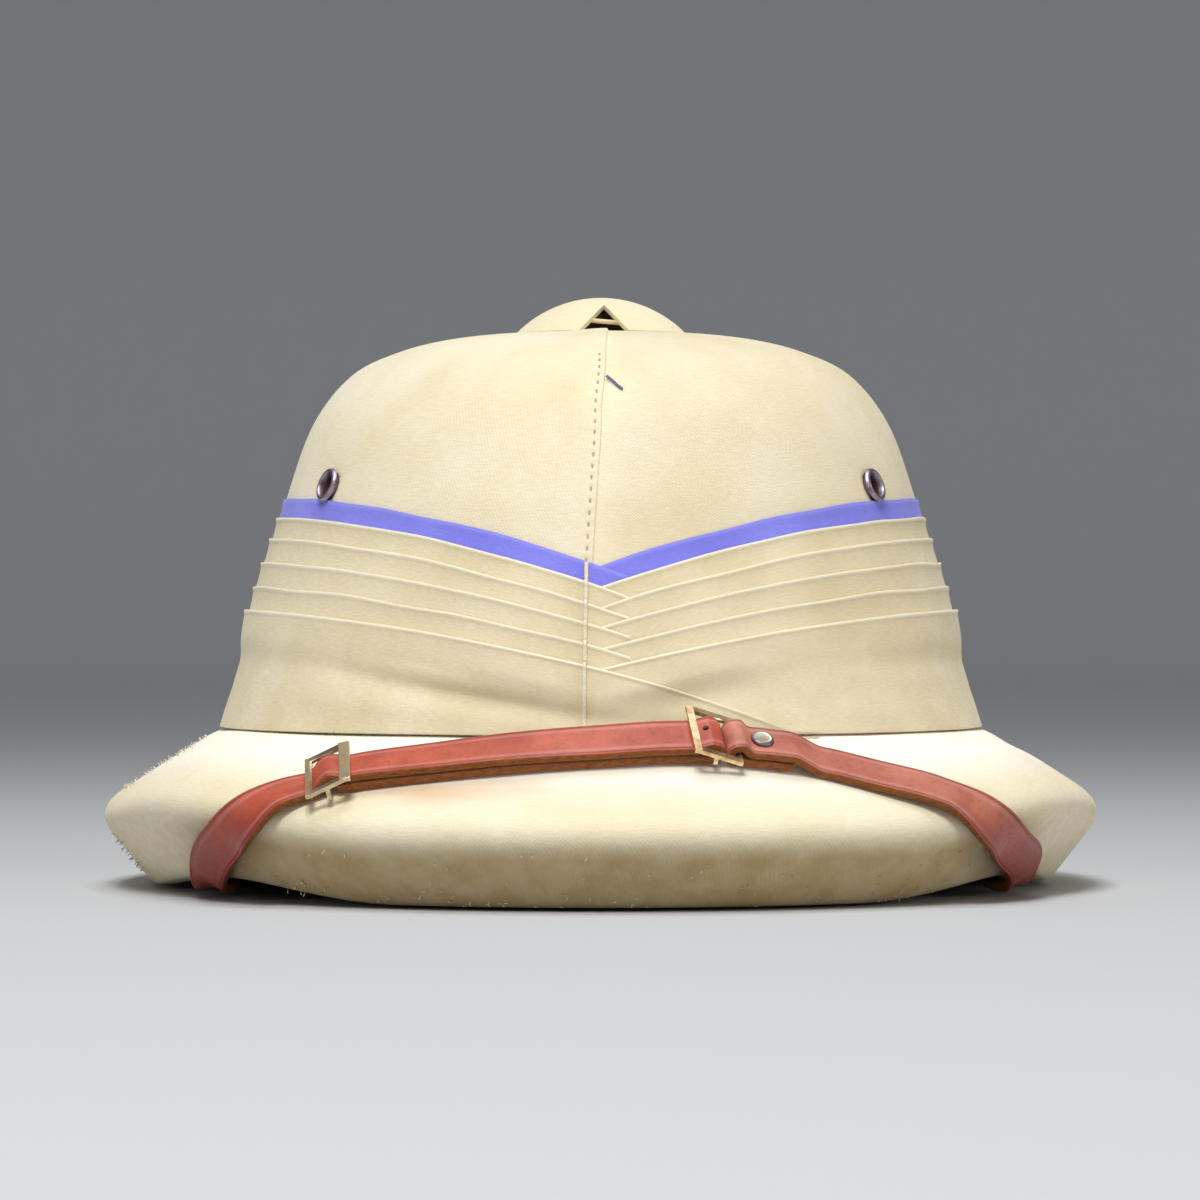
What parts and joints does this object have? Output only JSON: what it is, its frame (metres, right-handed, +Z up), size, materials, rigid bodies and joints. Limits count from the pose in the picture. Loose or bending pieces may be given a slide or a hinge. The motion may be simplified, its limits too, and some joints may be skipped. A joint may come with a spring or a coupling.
{
  "type": "pith sun helmet",
  "caption": "Cloth-covered pith sun helmet with a domed crown, sloping brim, folded pugaree with a blue flash, ventilator cap and leather chin strap worn over the brim.",
  "frame": {"origin": "centre of the brim's outline, on the surface that the brim rests on", "axes": "+Z up, -Y towards the front of the helmet, +X to the right as seen from the front"},
  "size_m": [0.2882, 0.3464, 0.1705],
  "materials": {
    "drill": "cream cotton drill over pith",
    "pugaree": "khaki cotton cloth, folded",
    "flash": "blue cotton cloth",
    "leather": "red-brown strap leather, worn",
    "brass": "worn brass",
    "eyelet_metal": "dull grey plated metal"
  },
  "bodies": {
    "root": {"crown": "drill", "brim": "drill", "ventilator_cap": "drill", "flash_band": "flash", "pugaree_fold_1": "pugaree", "pugaree_fold_2": "pugaree", "pugaree_fold_3": "pugaree", "pugaree_fold_4": "pugaree", "pugaree_wrap": "pugaree", "eyelet_left": "eyelet_metal", "eyelet_right": "eyelet_metal", "chin_strap_left": "leather", "chin_strap_right": "leather", "strap_slider": "brass", "strap_buckle": "brass", "strap_rivet": "brass", "strap_stud_left": "brass", "strap_stud_right": "brass"}
  },
  "joints": []
}
